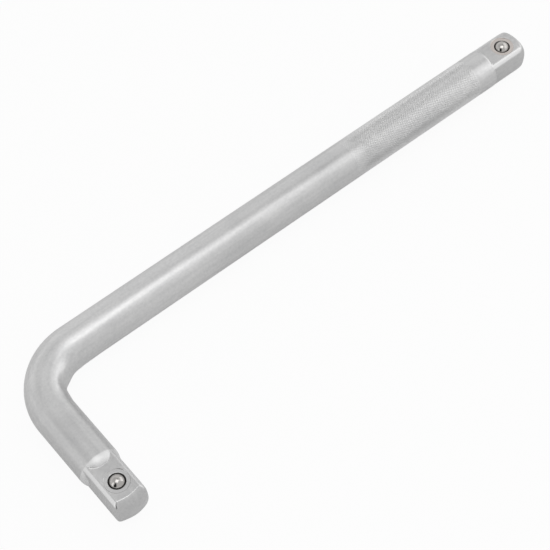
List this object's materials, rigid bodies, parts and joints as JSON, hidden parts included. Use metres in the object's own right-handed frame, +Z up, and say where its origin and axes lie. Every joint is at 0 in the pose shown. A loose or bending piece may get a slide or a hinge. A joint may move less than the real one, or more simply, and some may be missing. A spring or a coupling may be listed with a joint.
{
  "type": "l-shaped breaker bar",
  "caption": "L-shaped steel handle for sockets: a round bar bent square, with a knurled grip on its long arm and a square drive with a sprung ball on each end.",
  "frame": {"origin": "middle of the handle's bounding box, on the surface that it lies on", "axes": "+X along the long arm towards its tip, -Y along the short arm towards its tip, +Z up, the way both balls face"},
  "size_m": [0.25, 0.0754, 0.016],
  "materials": {
    "satin_chrome": "satin chrome plate on forged steel",
    "polished_ball": "mirror-polished bearing steel",
    "spring_wire": "drawn spring wire"
  },
  "bodies": {
    "bar": {"bar": "satin_chrome", "short_drive_spring": "spring_wire", "long_drive_spring": "spring_wire"},
    "short_ball": {"short_drive_ball": "polished_ball"},
    "long_ball": {"long_drive_ball": "polished_ball"}
  },
  "joints": [
    {"name": "short_ball_press", "type": "slide", "parent": "bar", "child": "short_ball", "axis": [0, 0, -1], "range_m": [0, 0.0015], "stiffness_N_per_m": 600, "deforming": ["short_drive_spring"]},
    {"name": "long_ball_press", "type": "slide", "parent": "bar", "child": "long_ball", "axis": [0, 0, -1], "range_m": [0, 0.0015], "stiffness_N_per_m": 600, "deforming": ["long_drive_spring"]}
  ]
}
